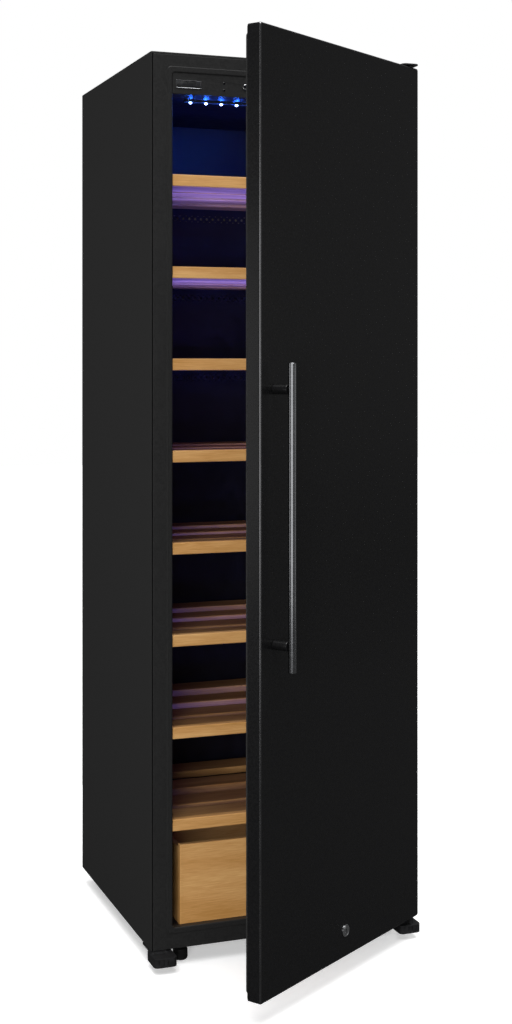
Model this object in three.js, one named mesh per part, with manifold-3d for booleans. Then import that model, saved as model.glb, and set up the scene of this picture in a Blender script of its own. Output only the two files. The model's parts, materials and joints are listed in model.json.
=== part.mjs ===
// A tall free-standing wine cooler with its door ajar: steel cabinet, black liner, eight slatted
// wooden shelves, a wooden crate on the floor, a control panel under the top rail, a cooling circuit
// behind and below, and a solid door hinged on the right with a bar handle and a lock.
// Millimetres, +X to the right, +Y to the back, +Z up.
// Inside the cabinet group x = 0 is mid-width, y = 0 the front frame's face and z = 0 the cabinet's
// underside. The whole group is then shifted so that the origin is the centre of the footprint on
// the floor.
import * as THREE from "three";
import { mergeVertices } from "three/addons/utils/BufferGeometryUtils.js";
import Module from "manifold-3d";

const wasm = await Module();
wasm.setup();

// ---- driving dimensions ----
const width = 580;
const height = 1820;
const depth = 570;
const floorGap = 34; // the feet hold the cabinet this far above the floor
const gap = 0.3; // clearance between parts that touch
const sheet = 1.5; // steel sheet of the cabinet and the door
const half = width / 2;

const stile = 45; // width of the front frame's uprights
const sillHeight = 43;
const openingTop = 1780;
const frameDepth = 14;
const beadWidth = 12;
const linerSheet = 2;
const linerX = half - stile; // inner face of the side walls
const floorZ = 37; // inner floor in front of the step
const stepY = 290;
const stepZ = 228; // top of the step over the machine compartment
const ceilingZ = 1745;
const ductY = 488; // front of the air duct cover
const chamberY = 526; // back of the evaporator chamber
const machineY = 336;
const machineTop = 190;

const shelfCount = 8;
const shelfPitch = 187.6;
const topShelfZ = 1573.6; // top edge of the highest fascia
const fasciaHeight = 24;
const fasciaY = 4;
const fasciaDepth = 18;
const slatThickness = 16;
const slats = [[22.3, 110], [133, 205], [256, 326], [388, 460]]; // front and back edge of each slat

const panelBottom = 1737;
const doorAngle = 34; // how far the door stands open
const doorTop = 1815.8;
const doorBottom = 12.7;
const doorFront = -39.8;
const doorBack = -7.8;
const hinge = { x: half - 13.4, y: -29 };
const seal = {
  outerX: 282, bottom: 21, top: 1803, innerX: 264, innerBottom: 30.5, innerTop: 1795, back: -0.6,
};
const pinRadius = 5;
const pinHole = 5.6;
const handle = { x: -246, y: -80, radius: 7.5, bottom: 619, top: 1190, postRadius: 9.5 };
const postHeights = { upper: 1141, lower: 667.5 };
const lock = { x: 0, z: 65.2, radius: 12, plugRadius: 8.5, back: -29 };
const cam = { reach: 68, halfWidth: 6, thickness: 3, clearance: 2.5 };

const colours = {
  shell: [0x2c2c2c, 0.55, 0.2],
  trim: [0x262626, 0.5, 0.1],
  liner: [0x17171c, 0.45, 0],
  foam: [0xd8cfa8, 0.95, 0],
  wood: [0xc89a5e, 0.6, 0],
  slat: [0xa8794a, 0.65, 0],
  door: [0x161616, 0.25, 0.1],
  steel: [0xb9bbbd, 0.25, 0.9],
  zinc: [0x303031, 0.5, 0.8],
  rubber: [0x2a2a2a, 0.8, 0],
  black: [0x101010, 0.6, 0],
};

// ---- solids ----
function solid(geometry) {
  const plain = geometry.clone();
  plain.deleteAttribute("normal");
  plain.deleteAttribute("uv");
  const merged = mergeVertices(plain, 1e-3);
  return new wasm.Manifold(
    new wasm.Mesh({
      numProp: 3,
      vertProperties: merged.attributes.position.array,
      triVerts: new Uint32Array(merged.index.array),
    }),
  );
}

function geometryOf(manifold) {
  const mesh = manifold.getMesh();
  const geometry = new THREE.BufferGeometry();
  geometry.setAttribute("position", new THREE.BufferAttribute(mesh.vertProperties, 3));
  geometry.setIndex(new THREE.BufferAttribute(mesh.triVerts, 1));
  geometry.computeVertexNormals();
  return geometry;
}

const join = (...pieces) => geometryOf(pieces.map(solid).reduce((a, b) => a.add(b)));
const cut = (body, ...tools) =>
  geometryOf(tools.map(solid).reduce((a, b) => a.subtract(b), solid(body)));

function block(x0, x1, y0, y1, z0, z1) {
  const box = new THREE.BoxGeometry(x1 - x0, y1 - y0, z1 - z0);
  return box.translate((x0 + x1) / 2, (y0 + y1) / 2, (z0 + z1) / 2);
}

// A block as wide as 2 * halfWidth, centred on x = 0.
const wide = (halfWidth, y0, y1, z0, z1) => block(-halfWidth, halfWidth, y0, y1, z0, z1);

// A cylinder standing on z0, and one lying front to back.
function upright(radius, x, y, z0, z1, sides = 24) {
  const rod = new THREE.CylinderGeometry(radius, radius, z1 - z0, sides);
  return rod.rotateX(Math.PI / 2).translate(x, y, (z0 + z1) / 2);
}

function alongY(radius, x, z, y0, y1, sides = 24) {
  const rod = new THREE.CylinderGeometry(radius, radius, y1 - y0, sides);
  return rod.translate(x, (y0 + y1) / 2, z);
}

function roundedRectangle(x0, x1, y0, y1, radius) {
  const shape = new THREE.Shape();
  shape.moveTo(x0 + radius, y0);
  shape.lineTo(x1 - radius, y0);
  shape.absarc(x1 - radius, y0 + radius, radius, -Math.PI / 2, 0);
  shape.lineTo(x1, y1 - radius);
  shape.absarc(x1 - radius, y1 - radius, radius, 0, Math.PI / 2);
  shape.lineTo(x0 + radius, y1);
  shape.absarc(x0 + radius, y1 - radius, radius, Math.PI / 2, Math.PI);
  shape.lineTo(x0, y0 + radius);
  shape.absarc(x0 + radius, y0 + radius, radius, Math.PI, Math.PI * 1.5);
  return shape;
}

// An outline drawn in x and z, carried back from y0 to y1.
function plateXZ(shape, y0, y1) {
  const plate = new THREE.ExtrudeGeometry(shape, {
    depth: y1 - y0,
    bevelEnabled: false,
    curveSegments: 6,
  });
  return plate.rotateX(Math.PI / 2).translate(0, y1, 0);
}

// An outline drawn in x and y, carried up from z0 to z1.
function plateXY(shape, z0, z1) {
  const plate = new THREE.ExtrudeGeometry(shape, {
    depth: z1 - z0,
    bevelEnabled: false,
    curveSegments: 6,
  });
  return plate.translate(0, 0, z0);
}

// An outline drawn in y and z, carried across from x0 to x1.
function plateYZ(points, x0, x1) {
  const shape = new THREE.Shape(points.map(([y, z]) => new THREE.Vector2(y, z)));
  const plate = new THREE.ExtrudeGeometry(shape, { depth: x1 - x0, bevelEnabled: false });
  return plate.rotateX(Math.PI / 2).rotateZ(Math.PI / 2).translate(x0, 0, 0);
}

const cabinet = new THREE.Group();
const door = new THREE.Group();

function part(name, geometry, [color, roughness, metalness], parent = cabinet) {
  const material = new THREE.MeshStandardMaterial({ color, roughness, metalness });
  const mesh = new THREE.Mesh(geometry, material);
  mesh.name = name;
  parent.add(mesh);
  return mesh;
}

// ---- cabinet shell ----
function addShell() {
  const inside = half - sheet - gap;
  part("left_side_panel", block(-half, -half + sheet, 0, depth - sheet - gap, 0, height),
    colours.shell);
  part("right_side_panel", block(half - sheet, half, 0, depth - sheet - gap, 0, height),
    colours.shell);
  part("top_panel", wide(inside, 0.5, depth - sheet - gap, height - 4, height), colours.shell);
  part("back_panel", wide(half, depth - sheet, depth, machineTop + 2, height), colours.shell);
  part("base_plate", wide(inside, frameDepth + 2, depth - sheet - gap, 0, 3), colours.zinc);
  addFrontFrame();
  addFoam(inside);
}

// A flat frame with a raised bead round its opening.
function addFrontFrame() {
  const side = half - sheet - 2.5;
  const top = height - 4 - gap;
  const cornerRadius = 7;
  const plate = roundedRectangle(-side, side, 0, top, 1.5);
  const bead = roundedRectangle(-linerX - beadWidth, linerX + beadWidth,
    sillHeight - beadWidth, openingTop + beadWidth, 9);
  const hole = roundedRectangle(-linerX, linerX, sillHeight, openingTop, cornerRadius);
  const frame = join(plateXZ(plate, 0, frameDepth), plateXZ(bead, -1.5, 4));
  part("front_frame", cut(frame, plateXZ(hole, -5, frameDepth + 5),
    wide(linerX, -5, frameDepth + 5, panelBottom, openingTop)), colours.trim);
}

// Foamed insulation between the shell and the liner, open at the front.
function addFoam(inside) {
  const wall = linerX + linerSheet + gap;
  const foam = wide(inside - gap, frameDepth + gap, depth - sheet - 2 * gap, 3 + gap,
    height - 4 - gap);
  const front = frameDepth - 1;
  part("insulation_foam", cut(foam,
    wide(wall, front, stepY + 1, floorZ - linerSheet - gap, ceilingZ + linerSheet + gap),
    wide(wall, stepY, chamberY + linerSheet, stepZ - linerSheet - gap,
      ceilingZ + linerSheet + gap),
    wide(wall, front, 62, panelBottom, openingTop + 1),
    wide(half, machineY, depth, -1, machineTop)), colours.foam);
}

// ---- liner ----
function addLiner() {
  const front = frameDepth + gap;
  const outline = [[front, floorZ - linerSheet], [stepY, floorZ - linerSheet],
    [stepY, stepZ - linerSheet], [chamberY, stepZ - linerSheet],
    [chamberY, ceilingZ + linerSheet], [front, ceilingZ + linerSheet]];
  for (const [side, name] of [[-1, "liner_left_wall"], [1, "liner_right_wall"]]) {
    const sheetX = [side * linerX, side * (linerX + linerSheet)].sort((a, b) => a - b);
    const ledgeX = [side * (linerX - 8), side * (linerX + 1)].sort((a, b) => a - b);
    const ledges = shelfBottoms().map((z) =>
      block(ledgeX[0], ledgeX[1], 40, 455, z - 8, z - gap));
    part(name, join(plateYZ(outline, ...sheetX), ...ledges), colours.liner);
  }
  const inner = linerX - gap;
  part("liner_ceiling", wide(inner, 61, chamberY, ceilingZ, ceilingZ + linerSheet),
    colours.liner);
  const step = [[front, floorZ - linerSheet], [stepY, floorZ - linerSheet],
    [stepY, stepZ - linerSheet], [chamberY, stepZ - linerSheet], [chamberY, stepZ],
    [stepY - linerSheet, stepZ], [stepY - linerSheet, floorZ], [front, floorZ]];
  part("liner_floor", plateYZ(step, -inner, inner), colours.liner);
}

// ---- shelves ----
function shelfBottoms() {
  return Array.from({ length: shelfCount }, (_, i) => topShelfZ - i * shelfPitch - fasciaHeight);
}

function addShelves() {
  const end = linerX - 1;
  const railX = linerX - 12;
  shelfBottoms().forEach((bottom, i) => {
    const boards = slats.map(([y0, y1]) => wide(end, y0, y1, bottom, bottom + slatThickness));
    const rails = [-1, 1].map((side) => block(side * railX - 9, side * railX + 9, 60, 455,
      bottom + 4, bottom + slatThickness + 4));
    part(`shelf_${i + 1}_deck`, join(...boards, ...rails), colours.slat);
    part(`shelf_${i + 1}_fascia`,
      wide(end, fasciaY, fasciaY + fasciaDepth, bottom, bottom + fasciaHeight), colours.wood);
  });
}

// An open wooden crate that stands on the liner's floor in front of the step.
function addCrate() {
  const front = 224;
  const box = 222;
  const z0 = floorZ + gap;
  const y0 = frameDepth + 2;
  const board = 16;
  const wall = 12;
  const back = 270;
  const top = 204;
  part("crate_front", wide(front, y0, y0 + board, z0, top), colours.wood);
  part("crate_box", cut(wide(box, y0 + board + gap, back, z0, top - 10),
    wide(box - wall, y0 + board + wall, back - wall, z0 + 10, top)), colours.wood);
}

// ---- control panel and light ----
const buttons = { power_button: -87, down_button: 60, up_button: 88 };

function addControls() {
  const faceY = 0.5;
  const middleZ = 1758;
  const buttonRadius = 6.4;
  const pane = { half: 36, z0: 1745, z1: 1771 };
  const holes = Object.values(buttons).map((x) =>
    alongY(buttonRadius + 0.4, x, middleZ, faceY - 2, faceY + 9));
  part("control_housing", cut(
    wide(linerX - gap, faceY, 60, panelBottom, openingTop - gap),
    wide(pane.half, faceY - 2, faceY + 3.5, pane.z0, pane.z1), ...holes), colours.trim);
  part("display_window", wide(pane.half - gap, faceY - 0.3, faceY + 3.2, pane.z0 + gap,
    pane.z1 - gap), colours.black);
  for (const [name, x] of Object.entries(buttons)) {
    part(name, alongY(buttonRadius, x, middleZ, faceY - 2, faceY + 7), colours.steel);
  }
  part("badge_plate", block(-237.5, -183, faceY - 1.3, faceY - gap, 1748, 1765), colours.steel);
  part("led_strip", wide(186, 100, 114, ceilingZ - 6, ceilingZ - gap), colours.black);
}

// ---- cooling ----
const fan = { z: 1655, radius: 46, hubRadius: 15, blades: 7 };

function addAirCircuit() {
  const side = linerX - gap;
  const slots = [-2, -1, 0, 1, 2].map((i) =>
    wide(52 - Math.abs(i) * 8, ductY - 2, ductY + 4, fan.z + i * 18 - 4, fan.z + i * 18 + 4));
  const returns = Array.from({ length: 9 }, (_, i) => {
    const x = (i - 4) * 42;
    return block(x - 12, x + 12, ductY - 2, ductY + 4, 262, 270);
  });
  part("air_duct_cover", cut(wide(side, ductY, ductY + linerSheet, stepZ + gap,
    ceilingZ - gap), ...slots, ...returns), colours.liner);

  const blades = Array.from({ length: fan.blades }, (_, i) => {
    const blade = block(-11, 11, -1.2, 1.2, fan.hubRadius - 3, fan.radius);
    blade.rotateZ(0.5).rotateY((i * 2 * Math.PI) / fan.blades);
    return blade.translate(0, 504, fan.z);
  });
  const hub = alongY(fan.hubRadius, 0, fan.z, 497, 511);
  part("fan_rotor", cut(join(hub, ...blades), alongY(2.6, 0, fan.z, 502, 512, 16)),
    colours.black);
  part("fan_motor", join(alongY(18, 0, fan.z, 512, chamberY - gap),
    alongY(2.5, 0, fan.z, 503, 513, 16)), colours.zinc);
  addEvaporator();
}

// A flat plate with the refrigerant channel winding down it.
function addEvaporator() {
  const y = 507;
  const span = 170;
  const rows = 9;
  const points = [];
  for (let i = 0; i < rows; i++) {
    const z = 1480 - i * 90;
    const side = i % 2 ? 1 : -1;
    points.push(new THREE.Vector3(side * span, y, z), new THREE.Vector3(-side * span, y, z));
  }
  part("evaporator", join(wide(200, y - 1, y + 1, 720, 1520),
    ...points.slice(1).map((p, i) => pipe(points[i], p, 4))), colours.steel);
}

// A straight pipe between two points in one upright plane.
function pipe(a, b, radius) {
  const run = new THREE.Vector3().subVectors(b, a);
  const rod = new THREE.CylinderGeometry(radius, radius, run.length() + radius, 8);
  const turn = new THREE.Quaternion().setFromUnitVectors(
    new THREE.Vector3(0, 1, 0), run.clone().normalize());
  return rod.applyQuaternion(turn).translate((a.x + b.x) / 2, (a.y + b.y) / 2, (a.z + b.z) / 2);
}

function addMachine() {
  const dome = [[0, 0], [60, 0], [72, 12], [75, 45], [75, 105], [66, 132], [42, 150], [0, 156]];
  const shell = new THREE.LatheGeometry(dome.map(([r, z]) => new THREE.Vector2(r, z)), 28);
  const feet = block(-80, 80, -55, 55, -8, 2);
  const body = join(shell.rotateX(Math.PI / 2), feet);
  body.translate(-130, 445, 3 + gap + 8);
  part("compressor", body, colours.black);

  const fins = Array.from({ length: 11 }, (_, i) => {
    const x = 42 + i * 14;
    return block(x, x + 8, 380, 496, 14, 150);
  });
  part("condenser", cut(block(30, 204, 385, 490, 3 + gap, 145), ...fins), colours.zinc);

  const inlet = { x: 232, z: 60 };
  const louvres = Array.from({ length: 7 }, (_, i) => i).flatMap((i) =>
    [-150, 0, 130].map((x) => block(x - 55, x + 55, 560, depth, 36 + i * 20, 44 + i * 20)));
  part("rear_grille", cut(wide(half - sheet - gap, depth - sheet - 2, depth - gap, 3 + gap,
    machineTop - gap), ...louvres,
  block(inlet.x - 17, inlet.x + 17, 560, depth, inlet.z - 13, inlet.z + 13)), colours.black);
  part("power_inlet", cut(
    block(inlet.x - 16, inlet.x + 16, 540, depth - gap, inlet.z - 12, inlet.z + 12),
    block(inlet.x - 12.5, inlet.x + 12.5, 552, depth + 1, inlet.z - 8, inlet.z + 8)),
  colours.black);
}

// ---- feet, rear rail and hinge brackets ----
function addFeet() {
  const foot = [[0, -floorGap], [13, -floorGap], [15.5, -floorGap + 3], [15.5, -12],
    [6, -9], [6, -gap], [0, -gap]];
  for (const [name, x] of [["front_left_foot", -218], ["front_right_foot", 218]]) {
    const profile = foot.map(([r, z]) => new THREE.Vector2(r, z));
    const turned = new THREE.LatheGeometry(profile, 28).rotateX(Math.PI / 2);
    part(name, turned.translate(x, 34, 0), colours.black);
  }
  part("rear_rail", wide(235, 490, 540, -floorGap, -gap), colours.black);
}

// The lower bracket: a block with a round nose under the cabinet's front corner at x, wider
// towards the middle of the cabinet.
function bracket(x) {
  const inward = -Math.sign(x);
  const [x0, x1] = [x - inward * 20, x + inward * 28].sort((a, b) => a - b);
  const body = plateXY(roundedRectangle(x0, x1, -41, 18, 9), -20, -2);
  const grooves = [-9, 0, 9].map((dx) => block(x + dx - 1.5, x + dx + 1.5, -42, -39, -17, -5));
  return join(cut(body, ...grooves), block(x - 16, x + 16, -8, 60, -5, -gap));
}

function addHinges() {
  const right = hinge.x - 2;
  part("lower_hinge", join(bracket(right),
    upright(pinRadius, hinge.x, hinge.y, -5, doorBottom + 20)), colours.zinc);
  part("spare_hinge_bracket", bracket(-right), colours.zinc);
  const nose = roundedRectangle(hinge.x - 26, hinge.x + 12, -46, 62, 10);
  part("upper_hinge", join(plateXY(nose, height + gap, height + gap + 3),
    upright(pinRadius, hinge.x, hinge.y, doorTop - 20, height + 1)), colours.zinc);
}

// The lock's keeper under the cabinet's front edge, with a slot for the cam's tip.
function addKeeper() {
  const plate = block(-24, 44, -40, 60, -4, -gap);
  part("lock_keeper", cut(plate, block(-10, 30, -33, -21, -5, 1)), colours.zinc);
}

// ---- door ----
function addDoor() {
  const inner = half - sheet;
  const outline = roundedRectangle(-half, half, doorFront, doorBack + 20, 4);
  const pins = [[doorBottom - 5, doorBottom + 24], [doorTop - 24, doorTop + 5]].map(([z0, z1]) =>
    upright(pinHole, hinge.x, hinge.y, z0, z1));
  const lockHole = alongY(lock.plugRadius + 1, lock.x, lock.z, doorFront - 5, -16);
  const pocket = camPocket();
  const back = doorBack - linerSheet - gap;
  const skin = cut(plateXY(outline, doorBottom, doorTop),
    block(-half - 5, half + 5, back, 30, 0, height),
    wide(inner, doorFront + sheet, 5, doorBottom + sheet, doorTop - sheet),
    lockHole, pocket, ...pins);
  part("door_skin", skin, colours.door, door);
  part("door_foam", cut(wide(inner - gap, doorFront + sheet + gap, back - gap,
    doorBottom + sheet + gap, doorTop - sheet - gap), lockHole, pocket, ...pins),
  colours.foam, door);
  const tray = roundedRectangle(-225, 225, 70, 1760, 18);
  part("door_liner", join(wide(half - 2, back + gap, doorBack, doorBottom + 2, doorTop - 2),
    plateXZ(tray, doorBack - 1, doorBack + 4)), colours.trim, door);
  const sealOuter = roundedRectangle(-seal.outerX, seal.outerX, seal.bottom, seal.top, 6);
  const sealInner = roundedRectangle(-seal.innerX, seal.innerX, seal.innerBottom, seal.innerTop, 4);
  part("door_gasket", cut(plateXZ(sealOuter, doorBack + gap, seal.back),
    plateXZ(sealInner, doorBack, 5)), colours.rubber, door);
}

function addHandle() {
  const { radius, bottom, top } = handle;
  const profile = [[0, bottom], [radius - 1.2, bottom], [radius, bottom + 1.2],
    [radius, top - 1.2], [radius - 1.2, top], [0, top]];
  const bar = new THREE.LatheGeometry(profile.map(([r, z]) => new THREE.Vector2(r, z)), 24);
  part("handle_bar", bar.rotateX(Math.PI / 2).translate(handle.x, handle.y, 0),
    colours.steel, door);
  for (const [name, z] of Object.entries(postHeights)) {
    part(`handle_${name}_post`, alongY(handle.postRadius, handle.x, z,
      handle.y + radius + gap, doorFront - gap), colours.steel, door);
  }
}

// The quarter circle that the cam sweeps inside the door, out through its underside.
function camPocket() {
  const { x, z, back } = lock;
  const sweep = cam.reach + cam.clearance;
  const side = cam.halfWidth + cam.clearance;
  const y0 = back - 1;
  const y1 = back + gap + cam.thickness + 1;
  return cut(alongY(sweep, x, z, y0, y1, 48),
    block(x - sweep - 1, x - side, y0 - 1, y1 + 1, z - sweep - 1, z + sweep + 1),
    block(x - sweep - 1, x + sweep + 1, y0 - 1, y1 + 1, z + side, z + sweep + 1));
}

// A key plug that turns in the door, and the cam behind it that swings down into the keeper.
function addLock() {
  const { x, z, radius, plugRadius, back } = lock;
  const plug = join(alongY(radius, x, z, doorFront - 2.5, doorFront - gap, 32),
    alongY(plugRadius, x, z, doorFront - 1, back));
  part("lock_plug", cut(plug, block(x - 1.2, x + 1.2, doorFront - 4, doorFront + 6,
    z - 5, z + 5)), colours.steel, door);
  const { reach, halfWidth, thickness } = cam;
  part("lock_cam", block(x - halfWidth, x + reach - 1, back + gap, back + gap + thickness,
    z - halfWidth, z + halfWidth), colours.zinc, door);
}

addShell();
addLiner();
addShelves();
addCrate();
addControls();
addAirCircuit();
addMachine();
addFeet();
addHinges();
addKeeper();
addDoor();
addHandle();
addLock();

// The door's parts are drawn closed and turned about the hinge pins to where they stand.
const leaf = new THREE.Group();
door.position.set(-hinge.x, -hinge.y, 0);
leaf.position.set(hinge.x, hinge.y, 0);
leaf.rotation.z = THREE.MathUtils.degToRad(doorAngle);
leaf.add(door);
cabinet.add(leaf);

// The origin goes to the middle of the footprint, on the floor.
const wineCooler = new THREE.Group();
wineCooler.add(cabinet);
wineCooler.updateMatrixWorld(true);
const bounds = new THREE.Box3().setFromObject(cabinet, true);
cabinet.position.set(-(bounds.min.x + bounds.max.x) / 2, -(bounds.min.y + bounds.max.y) / 2,
  floorGap);

export default wineCooler;
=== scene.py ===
"""A tall wine cooler with its door ajar, on a pale floor under soft studio light.

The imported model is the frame, in metres, +Z up, with the cabinet's front towards -Y. Door pieces are
drawn as they lie when the door is shut, and turned about the hinge to where they stand at rest.
"""
import json
from math import cos, pi, radians, sin

import bmesh
import bpy
import numpy as np
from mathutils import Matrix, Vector


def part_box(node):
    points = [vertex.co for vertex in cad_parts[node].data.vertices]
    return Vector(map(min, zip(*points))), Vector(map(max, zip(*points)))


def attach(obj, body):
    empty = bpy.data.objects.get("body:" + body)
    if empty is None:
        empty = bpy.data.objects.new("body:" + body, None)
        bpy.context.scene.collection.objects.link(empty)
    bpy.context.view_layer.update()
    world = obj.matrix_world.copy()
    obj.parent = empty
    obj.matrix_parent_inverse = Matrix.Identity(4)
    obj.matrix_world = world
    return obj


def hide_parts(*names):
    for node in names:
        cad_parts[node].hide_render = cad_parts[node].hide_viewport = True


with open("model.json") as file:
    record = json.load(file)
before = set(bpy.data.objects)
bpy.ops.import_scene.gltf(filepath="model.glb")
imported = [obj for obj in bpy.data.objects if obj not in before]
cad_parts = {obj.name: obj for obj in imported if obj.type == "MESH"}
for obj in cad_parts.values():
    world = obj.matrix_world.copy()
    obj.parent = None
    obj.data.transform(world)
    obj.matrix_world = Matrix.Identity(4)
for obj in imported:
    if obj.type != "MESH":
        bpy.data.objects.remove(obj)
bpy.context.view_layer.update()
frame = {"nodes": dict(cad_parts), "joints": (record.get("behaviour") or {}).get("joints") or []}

MM = 0.001
SILL = 43  # height of the frame's lower rail, in mm
HOLD = 0.5  # width of the strip beside a rounded edge that takes the turn of its shading, in mm
JOINTS = {j["name"]: j for j in frame["joints"]}
SHELVES = range(1, 9)

# ---- where things are ----
HINGE = np.array(JOINTS["door_swing"]["pos_m"])
OPEN = -radians(JOINTS["door_swing"]["range_deg"][0])  # how far the door stands open at rest


def about_hinge(points, angle):
    """Turns points about the upright hinge axis."""
    c, s = cos(angle), sin(angle)
    turn = np.array([[c, -s, 0], [s, c, 0], [0, 0, 1]])
    return (points - HINGE) @ turn.T + HINGE


def box(node):
    """Lowest and highest corner of a cabinet node."""
    return tuple(np.array(corner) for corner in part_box(node))


def shut_box(node):
    """Lowest and highest corner of a door node, as it lies when the door is shut."""
    mesh = frame["nodes"][node].data
    points = np.empty(3 * len(mesh.vertices), np.float32)
    mesh.vertices.foreach_get("co", points)
    points = about_hinge(points.reshape(-1, 3).astype(float), -OPEN)
    return points.min(0), points.max(0)


# ---- surfaces ----
def outward(points, faces):
    """Turns the faces round if the closed surface they make is inside out."""
    volume = 0.0
    for face in faces:
        a, b, c = points[face[:, 0]], points[face[:, 1]], points[face[:, 2]]
        volume += np.einsum("ij,ij->i", a, np.cross(b, c)).sum()
        if face.shape[1] == 4:
            d = points[face[:, 3]]
            volume += np.einsum("ij,ij->i", a, np.cross(c, d)).sum()
    return points, faces if volume > 0 else [face[:, ::-1] for face in faces]


def skin(rings, looped=False):
    """A surface over a grid of points, ring by ring: quads join each ring to the next. The ends are
    closed by a fan to the ring's middle, or the last ring joins the first when it is looped."""
    rings = np.asarray(rings, float)
    count, around = rings.shape[:2]
    index = np.arange(count * around).reshape(count, around)
    last = index if looped else index[:-1]
    after = np.roll(index, -1, 0) if looped else index[1:]
    quads = np.stack([last, np.roll(last, -1, 1), np.roll(after, -1, 1), after], -1).reshape(-1, 4)
    points = rings.reshape(-1, 3)
    if looped:
        return outward(points, [quads])
    middle = np.array([rings[0].mean(0), rings[-1].mean(0)])
    first, final = index[0], index[-1]
    fans = np.concatenate([
        np.stack([np.roll(first, -1), first, np.full(around, len(points))], -1),
        np.stack([final, np.roll(final, -1), np.full(around, len(points) + 1)], -1)])
    return outward(np.concatenate([points, middle]), [quads, fans])


def rounded(rect, corner, steps=5):
    """A rectangle (u0, u1, v0, v1) whose corners are quarter circles, as points in order. A point on
    the straight side just before and just after each arc keeps the shading of the sides flat."""
    u0, u1, v0, v1 = rect
    corner = max(corner, 0.05 * MM)
    near = min(HOLD * MM, 0.2 * (u1 - u0 - 2 * corner), 0.2 * (v1 - v0 - 2 * corner))
    near = max(near, 0.01 * MM)
    angles = np.linspace(0, pi / 2, steps + 1)
    points = []
    for k, (u, v) in enumerate([(u1, v1), (u0, v1), (u0, v0), (u1, v0)]):
        middle = np.array([u - corner * np.sign(u - (u0 + u1) / 2),
                           v - corner * np.sign(v - (v0 + v1) / 2)])
        arc = angles + k * pi / 2
        arc = middle + corner * np.stack([np.cos(arc), np.sin(arc)], -1)
        before = np.array([sin(k * pi / 2), -cos(k * pi / 2)]) * near
        after = np.array([-cos(k * pi / 2), -sin(k * pi / 2)]) * near
        points += [arc[:1] + before, arc, arc[-1:] + after]
    return np.concatenate(points)


def held(profile, near, looped=False):
    """The profile with a row just inside each end of every long run, and at the rim of both end caps,
    so that rounded edges don't shade the flats beside them."""
    rows = [np.array(row, float) for row in profile]
    if looped:
        rows.append(rows[0])
    out = [rows[0]] if looped else [rows[0] - (near, 0), rows[0]]
    for a, b in zip(rows[:-1], rows[1:]):
        run = np.linalg.norm(b - a)
        if run > 5 * near:
            out += [a + (b - a) * near / run, b - (b - a) * near / run]
        out.append(b)
    return out[:-1] if looped else out + [rows[-1] - (near, 0)]


def grow(rect, by):
    """The rectangle with each side moved out."""
    return (rect[0] - by, rect[1] + by, rect[2] - by, rect[3] + by)


def lift(points, axis, at):
    """Flat points placed in the plane across the axis, at a distance along it."""
    placed = np.empty((len(points), 3))
    placed[:, axis] = at
    placed[:, [k for k in range(3) if k != axis]] = points
    return placed


def board(low, high, axis=0, edge=1.0, corner=None):
    """A board: a rounded rectangle carried along the axis, pulled in along a quarter circle of the
    edge's radius (in millimetres) at both ends."""
    low, high = np.array(low, float), np.array(high, float)
    others = [k for k in range(3) if k != axis]
    rect = (low[others[0]], high[others[0]], low[others[1]], high[others[1]])
    radius = min(edge * MM, 0.3 * (high - low).min())
    corner = radius if corner is None else max(corner * MM, radius)
    turn = np.linspace(0, pi / 2, 4)
    inset, along = radius * (1 - np.sin(turn)), radius * (1 - np.cos(turn))
    ends = [(-i, low[axis] + a) for i, a in zip(inset, along)]
    ends += [(-i, high[axis] - a) for i, a in zip(inset[::-1], along[::-1])]
    return layered(rect, corner + 0.1 * MM, ends, axis)


def layered(rect, corner, profile, axis=1, looped=False):
    """Rounded rectangles one after another: each profile row is (how far the rectangle is grown, where
    it lies along the axis), in metres. A looped profile makes a frame with a hole."""
    near = min(HOLD * MM, 0.05 * min(rect[1] - rect[0], rect[3] - rect[2]))
    return skin([lift(rounded(grow(rect, by), corner + by), axis, at)
                 for by, at in held(profile, near, looped)], looped)


def turned(profile, centre, axis=2, sides=40, ripple=(0, 0), looped=False):
    """A turned shape: each profile row is (radius, height), in millimetres, carried round the axis
    through the centre. A ripple (count, depth) waves the radius as the cosine of count turns."""
    near = min(HOLD, 0.3 * min(profile[0][0], profile[-1][0]))
    profile = np.array(held(profile, near, looped)) * MM
    angle = np.linspace(0, 2 * pi, sides, endpoint=False)
    wave = 1 + ripple[1] * np.cos(ripple[0] * angle)
    circle = np.stack([np.cos(angle) * wave, np.sin(angle) * wave], -1)
    centre = np.array(centre, float)
    flat = [centre[k] for k in range(3) if k != axis]
    return skin([lift(circle * radius + flat, axis, centre[axis] + height)
                 for radius, height in profile], looped)


def rounded_bar(radius, start, end, edge=1.0):
    """The profile of a round bar whose ends are rounded by the edge's radius, in millimetres."""
    turn = np.linspace(0, pi / 2, 5)
    first = [(radius - edge * (1 - sin(t)), start + edge * (1 - cos(t))) for t in turn]
    final = [(radius - edge * (1 - sin(t)), end - edge * (1 - cos(t))) for t in turn[::-1]]
    return first + final


def opened(parts):
    """Door parts, turned from shut to where the door stands at rest."""
    return [(about_hinge(points, OPEN), faces) for points, faces in parts]


def piece(name, parts, body, material, replaces=(), smooth=35):
    """One object from several closed surfaces, riding on a body."""
    points, faces, start = [], [], 0
    for some, groups in parts:
        points.append(some)
        for group in groups:
            faces += (group + start).tolist()
        start += len(some)
    mesh = bpy.data.meshes.new(name)
    mesh.from_pydata(np.concatenate(points).tolist(), [], faces)
    mesh.polygons.foreach_set("use_smooth", [True] * len(mesh.polygons))
    mesh.set_sharp_from_angle(angle=radians(smooth))
    mesh.materials.append(material)
    made = bpy.data.objects.new(name, mesh)
    bpy.context.scene.collection.objects.link(made)
    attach(made, body)
    if replaces:
        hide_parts(*replaces)
    return made


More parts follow.
